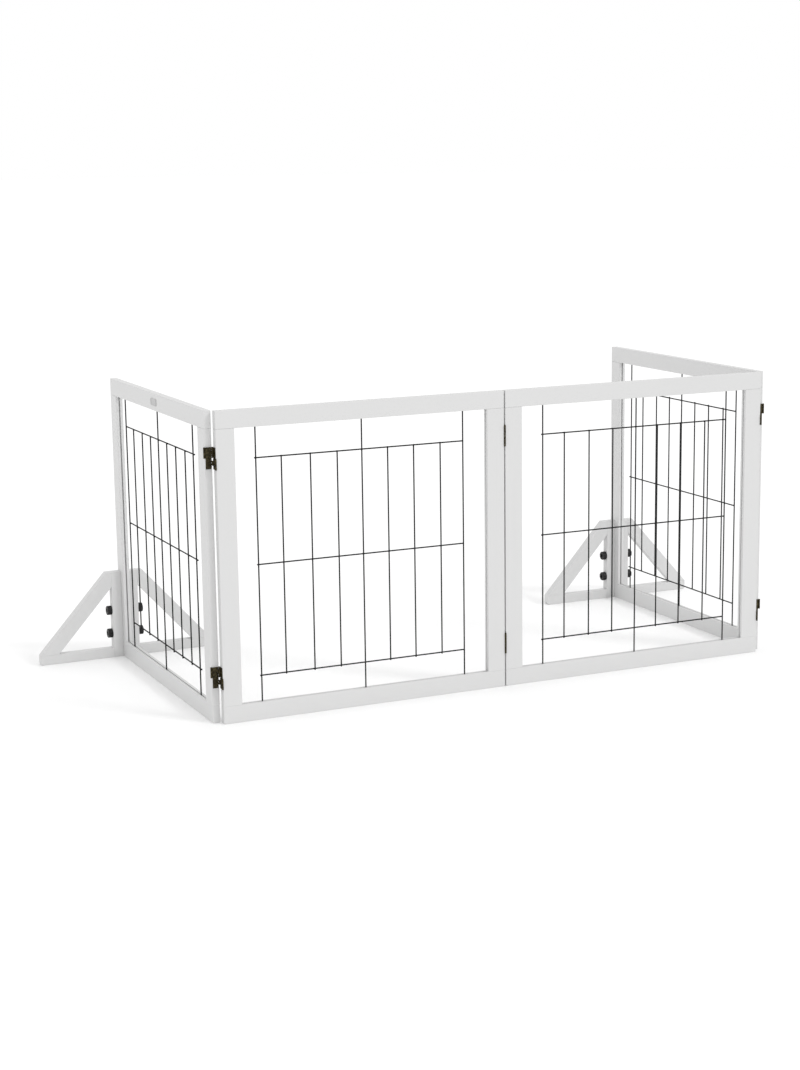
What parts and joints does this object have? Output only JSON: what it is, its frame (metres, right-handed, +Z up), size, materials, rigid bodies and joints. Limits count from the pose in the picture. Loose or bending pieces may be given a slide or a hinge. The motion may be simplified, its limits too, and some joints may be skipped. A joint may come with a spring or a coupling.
{
  "type": "pet gate",
  "caption": "Free-standing folding pet gate of framed wire-grid panels on double-action hinges, with triangular support feet on the end panels.",
  "frame": {"origin": "on the floor under the middle of the bounding box", "axes": "+Z up, +X along the two front panels, +Y towards the open back of the U"},
  "size_m": [1.627, 0.6298, 0.61],
  "materials": {
    "painted_wood": "white satin paint on wood",
    "bare_wood": "bare beech dowel",
    "black_wire": "matt black powder coat",
    "aged_brass": "antique bronze",
    "black_plastic": "matt moulded",
    "plate_metal": "brushed"
  },
  "bodies": {
    "panel_1": {"panel_1_top_rail": "painted_wood", "panel_1_bottom_rail": "painted_wood", "panel_1_left_stile": "painted_wood", "panel_1_right_stile": "painted_wood", "panel_1_wire_grid": "black_wire", "panel_1_dowels": "bare_wood", "hinge_screws_1": "aged_brass", "hinge_12_left_leaf": "aged_brass", "hinge_12_upper_link": "aged_brass", "nameplate": "plate_metal", "foot_1_outer_upright": "painted_wood", "foot_1_outer_base": "painted_wood", "foot_1_outer_brace": "painted_wood", "foot_1_inner_upright": "painted_wood", "foot_1_inner_base": "painted_wood", "foot_1_inner_brace": "painted_wood", "foot_1_knob_nuts": "black_plastic"},
    "panel_2": {"panel_2_top_rail": "painted_wood", "panel_2_bottom_rail": "painted_wood", "panel_2_left_stile": "painted_wood", "panel_2_right_stile": "painted_wood", "panel_2_wire_grid": "black_wire", "panel_2_dowels": "bare_wood", "hinge_screws_2": "aged_brass", "hinge_12_right_leaf": "aged_brass", "hinge_12_lower_link": "aged_brass", "hinge_23_left_leaf": "aged_brass", "hinge_23_upper_link": "aged_brass"},
    "panel_3": {"panel_3_top_rail": "painted_wood", "panel_3_bottom_rail": "painted_wood", "panel_3_left_stile": "painted_wood", "panel_3_right_stile": "painted_wood", "panel_3_wire_grid": "black_wire", "panel_3_dowels": "bare_wood", "hinge_screws_3": "aged_brass", "hinge_23_right_leaf": "aged_brass", "hinge_23_lower_link": "aged_brass", "hinge_34_left_leaf": "aged_brass", "hinge_34_lower_link": "aged_brass"},
    "panel_4": {"panel_4_top_rail": "painted_wood", "panel_4_bottom_rail": "painted_wood", "panel_4_left_stile": "painted_wood", "panel_4_right_stile": "painted_wood", "panel_4_wire_grid": "black_wire", "panel_4_dowels": "bare_wood", "hinge_screws_4": "aged_brass", "hinge_34_right_leaf": "aged_brass", "hinge_34_upper_link": "aged_brass", "foot_4_outer_upright": "painted_wood", "foot_4_outer_base": "painted_wood", "foot_4_outer_brace": "painted_wood", "foot_4_inner_upright": "painted_wood", "foot_4_inner_base": "painted_wood", "foot_4_inner_brace": "painted_wood", "foot_4_knob_nuts": "black_plastic"},
    "foot_1_lower_knob": {"foot_1_lower_knob_bolt": "black_plastic"},
    "foot_1_upper_knob": {"foot_1_upper_knob_bolt": "black_plastic"},
    "foot_4_lower_knob": {"foot_4_lower_knob_bolt": "black_plastic"},
    "foot_4_upper_knob": {"foot_4_upper_knob_bolt": "black_plastic"}
  },
  "joints": [
    {"name": "fold_12", "type": "hinge", "parent": "panel_2", "child": "panel_1", "pos_m": [-0.6127, -0.29645, 0.305], "axis": [0, 0, 1], "range_deg": [-45, 90]},
    {"name": "fold_23", "type": "hinge", "parent": "panel_2", "child": "panel_3", "pos_m": [0, -0.31305, 0.305], "axis": [0, 0, 1], "range_deg": [-90, 0]},
    {"name": "fold_34", "type": "hinge", "parent": "panel_3", "child": "panel_4", "pos_m": [0.6127, -0.29645, 0.305], "axis": [0, 0, 1], "range_deg": [-90, 45]},
    {"name": "foot_1_lower_knob_turn", "type": "hinge", "parent": "panel_1", "child": "foot_1_lower_knob", "pos_m": [-0.621, 0.3019, 0.053], "axis": [1, 0, 0], "continuous": true},
    {"name": "foot_1_upper_knob_turn", "type": "hinge", "parent": "panel_1", "child": "foot_1_upper_knob", "pos_m": [-0.621, 0.3019, 0.104], "axis": [1, 0, 0], "continuous": true},
    {"name": "foot_4_lower_knob_turn", "type": "hinge", "parent": "panel_4", "child": "foot_4_lower_knob", "pos_m": [0.621, 0.3019, 0.053], "axis": [-1, 0, 0], "continuous": true},
    {"name": "foot_4_upper_knob_turn", "type": "hinge", "parent": "panel_4", "child": "foot_4_upper_knob", "pos_m": [0.621, 0.3019, 0.104], "axis": [-1, 0, 0], "continuous": true}
  ]
}
